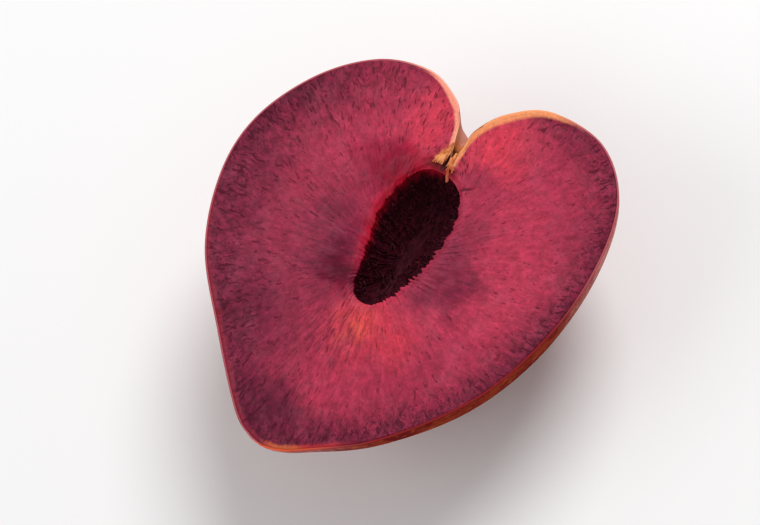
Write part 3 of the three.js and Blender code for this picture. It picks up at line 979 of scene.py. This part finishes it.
def skin_finish():
    f = Finish("mottled plum skin")
    place = f.place
    x, y, z = f.node("ShaderNodeSeparateXYZ", {0: place}).outputs
    names = "from_stem", "from_scar", "from_tip", "stem_end", "suture"
    from_stem, from_scar, from_tip, stem_end, suture = f.attributes(*names)

    broad = f.cloud(place, 17.0, 3.0, 0.55, 0.36, 0.62)
    patch = f.cloud(place, 5.5, 4.0, 0.65, 0.34, 0.64)
    small = f.cloud(place, 1.3, 3.0, 0.7, 0.35, 0.65)
    grain = f.noise(f.shaken(place, 0.8, 0.4), 0.55, 3.0, 0.65)

    tan = f.blend(small, (212, 122, 92), (198, 100, 82))
    red = f.blend(small, (176, 58, 66), (152, 40, 62))
    base = f.blend(f.times(patch, 0.9), tan, red)
    base = f.blend(broad, base, (156, 46, 70), 0.6)
    base = f.blend(f.step(z, 9.0, 0.0), base, (184, 92, 62), 0.45)
    # Painted shade: on the side turned from the lamps the skin is a darker orange-brown, most of all up
    # towards the cut.
    shaded_side = f.times(f.step(x, 2.0, 16.0), f.step(y, 17.0, 2.0))
    shade_brown = f.blend(patch, (140, 46, 18), (98, 20, 18))
    base = f.blend(f.times(shaded_side, f.step(z, 8.0, 19.0, 0.35, 0.88)), base, shade_brown)
    base = f.shaded(base, grain, 0.3, 0.7, 0.82, 1.16)

    # Fine dark wrinkles that break up, and soft pale dots of two sizes.
    bends = f.line_through(f.shaken(place, 0.9, 0.4), 1.5, 2.0)
    net = f.times(f.step(bends, 0.05, 0.01), f.step(patch, 0.2, 0.8, 0.3, 1.0))
    base = f.blend(net, base, (112, 26, 46), 0.32)
    around = f.shaken(place, 0.8, 0.25)
    dots = f.use(FLECKS, Vector=around, Spacing=1.15, Size=0.5, Share=0.5)
    specks = f.use(FLECKS, Vector=around, Spacing=0.7, Size=0.28, Share=0.5)
    dots = f.larger(f.step(dots, 0.0, 0.9), f.times(f.step(specks, 0.0, 0.9), 0.7))
    # On the shaded side the pale dots are darker: painted shade.
    pale = f.blend(shaded_side, (226, 144, 104), (186, 92, 48))
    base = f.blend(dots, base, pale, 0.62)

    # Golden in the stem hollow and by the tip, and a lilac bloom that is thickest by the stem.
    gold = f.blend(small, (196, 120, 58), (178, 92, 46))
    base = f.blend(f.step(from_stem, 9.0, 4.0), base, gold)
    base = f.blend(f.step(from_tip, 7.0, 2.0), base, (214, 116, 64), 0.6)
    base = f.blend(suture, base, (140, 50, 56), 0.35)
    by_notch = f.step(from_stem, 9.0, 5.0)
    bloom = f.times(f.cloud(place, 6.0, 4.0, 0.6, 0.42, 0.7), f.plus(0.16, f.times(stem_end, 0.4)))
    bloom = f.times(bloom, f.minus(1.0, f.times(by_notch, 0.85)))
    in_notch = f.times(by_notch, f.step(z, 23.8, 21.5), f.step(small, 0.0, 1.0, 0.2, 0.4))
    lit_side = f.minus(1.0, shaded_side)
    bloom = f.times(f.larger(bloom, in_notch), lit_side)
    base = f.blend(bloom, base, (206, 168, 184))

    # Dark torn tissue at the bottom of the stem hollow.
    torn = f.blend(small, (64, 24, 12), (128, 70, 30))
    base = f.blend(f.step(from_scar, 2.4, 1.0), base, torn)

    # The thin cut edge of the skin.
    flank = f.step(f.attribute("flank"), 0.0, 0.6)
    # The cut edge is darker on the shaded side: painted shade.
    edge = f.blend(shaded_side, (176, 84, 92), (140, 40, 40))
    orange = f.times(f.step(from_tip, 13.0, 6.0), f.step(x, -1.0, 2.0))
    edge = f.blend(orange, edge, (214, 84, 56))
    edge = f.blend(flank, edge, f.blend(f.step(x, -0.6, 0.6), (244, 164, 140), (240, 156, 104)))
    edge = f.blend(f.step(from_scar, 1.5, 0.7), edge, (150, 82, 40))
    base = f.blend(f.step(f.attribute("cut_edge"), 0.35, 0.75), base, edge)

    rough = f.plus(0.42, f.times(bloom, 0.6), clamp=True)
    f.feed(f.shader.inputs["Coat Weight"], f.times(lit_side, f.step(bloom, 0.6, 0.0, 0.05, 0.3)))
    f.shader.inputs["Coat Roughness"].default_value = 0.32
    relief = f.plus(f.plus(f.times(dots, 0.5), f.times(net, -0.2)), f.times(patch, 0.3))
    f.glow(0.05, (1.0, 0.4, 0.25), 1)
    return f.finished(base, rough, relief, 0.35, 0.1, 0.0)


def torn_finish(name, dark, light, width, roughness, gloss, stained=0.0):
    """Torn fibre, from one colour to the other in fine streaks, stained red towards the stone hollow."""
    f = Finish(name)
    streak = f.use(STREAKS, Vector=f.place, Width=width, Stretch=2.5)
    base = f.blend(f.step(streak, 0.35, 0.65), dark, light)
    y = f.node("ShaderNodeSeparateXYZ", {0: f.place}).outputs[1]
    base = f.blend(f.step(y, 16.7, 15.5), base, (150, 34, 34), stained)
    rough = f.plus(roughness, f.times(streak, 0.2))
    return f.finished(base, rough, streak, 0.4, 0.1, gloss)


# ---- The part.
flesh_material = flesh_finish()
hollow_material = hollow_finish()
skin_material = skin_finish()
bristle_material = torn_finish("torn hollow fibre", (36, 5, 14), (88, 34, 44), 0.4, 0.8, 0.05)
scar_material = torn_finish("dry stem scar fibre", (186, 98, 48), (240, 164, 104), 1.4, 0.5, 0.2, 0.65)

flesh = make_flesh()
skin = make_skin()
skin.data.materials.append(skin_material)
bristles = make_bristles(bristle_material)
strands = make_strands(scar_material)

for piece, slot in ((flesh, "flesh"), (skin, "skin"), (bristles, "flesh"), (strands, "stem_scar")):
    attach(piece, "root")
    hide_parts("plum_half")


# ---- Floor, light and camera.
VIEW_LEAN = math.radians(20)  # from straight above the cut
VIEW_FROM = (-0.8875, 0.4608, 0)
VIEW_TURN = math.radians(-120)
CAMERA_DISTANCE = 0.455
CAMERA_LENS = 156


def make_floor(half=3.0):
    material = bpy.data.materials.new("pale floor")
    material.use_nodes = True
    shader = material.node_tree.nodes["Principled BSDF"]
    shader.inputs["Base Color"].default_value = (0.86, 0.86, 0.86, 1.0)
    shader.inputs["Roughness"].default_value = 0.7
    corners = [(-half, -half, 0), (half, -half, 0), (half, half, 0), (-half, half, 0)]
    mesh = new_mesh("floor", corners, [], [(0, 1, 2, 3)])
    mesh.materials.append(material)
    linked("floor", mesh)


def view_axes():
    """Right, up and back of the photo's view of the cut face: leaning from straight above it."""
    above = Vector((0, 0, 1))
    back = above * math.cos(VIEW_LEAN) - Vector(VIEW_FROM).normalized() * math.sin(VIEW_LEAN)
    steep = (above - back * math.cos(VIEW_LEAN)).normalized()
    right = steep * math.cos(VIEW_TURN) + back.cross(steep) * math.sin(VIEW_TURN)
    return right, back.cross(right), back


def make_camera():
    right, up, back = view_axes()
    middle = Vector((0, 0, CUT_HEIGHT * MM * 0.92))
    data = bpy.data.cameras.new("camera")
    data.lens = CAMERA_LENS
    data.sensor_width = 36
    camera = linked("camera", data)
    turned = Matrix((right, up, back)).transposed().to_4x4()
    camera.matrix_world = Matrix.Translation(middle + back * CAMERA_DISTANCE) @ turned
    bpy.context.scene.camera = camera
    return right, up, middle


def make_light(name, place, target, size, power):
    data = bpy.data.lights.new(name, "AREA")
    data.shape = "DISK"
    data.size = size
    data.energy = power
    light = linked(name, data)
    light.location = place
    light.rotation_euler = (target - place).to_track_quat("-Z", "Y").to_euler()


make_floor()
right, up, middle = make_camera()
LIGHT_HEIGHT = Vector((0, 0, 0.6))
make_light("key", middle + up * 0.55 + right * 0.25 + LIGHT_HEIGHT, middle, 0.5, 6.6)
make_light("fill", middle - right * 0.7 - up * 0.2 + LIGHT_HEIGHT, middle, 0.7, 2.4)
world = bpy.data.worlds.new("studio")
world.use_nodes = True
sky = world.node_tree.nodes["Background"].inputs
sky["Color"].default_value = (1, 1, 1, 1)
sky["Strength"].default_value = 0.42
bpy.context.scene.world = world
bpy.context.scene.view_settings.view_transform = "Standard"
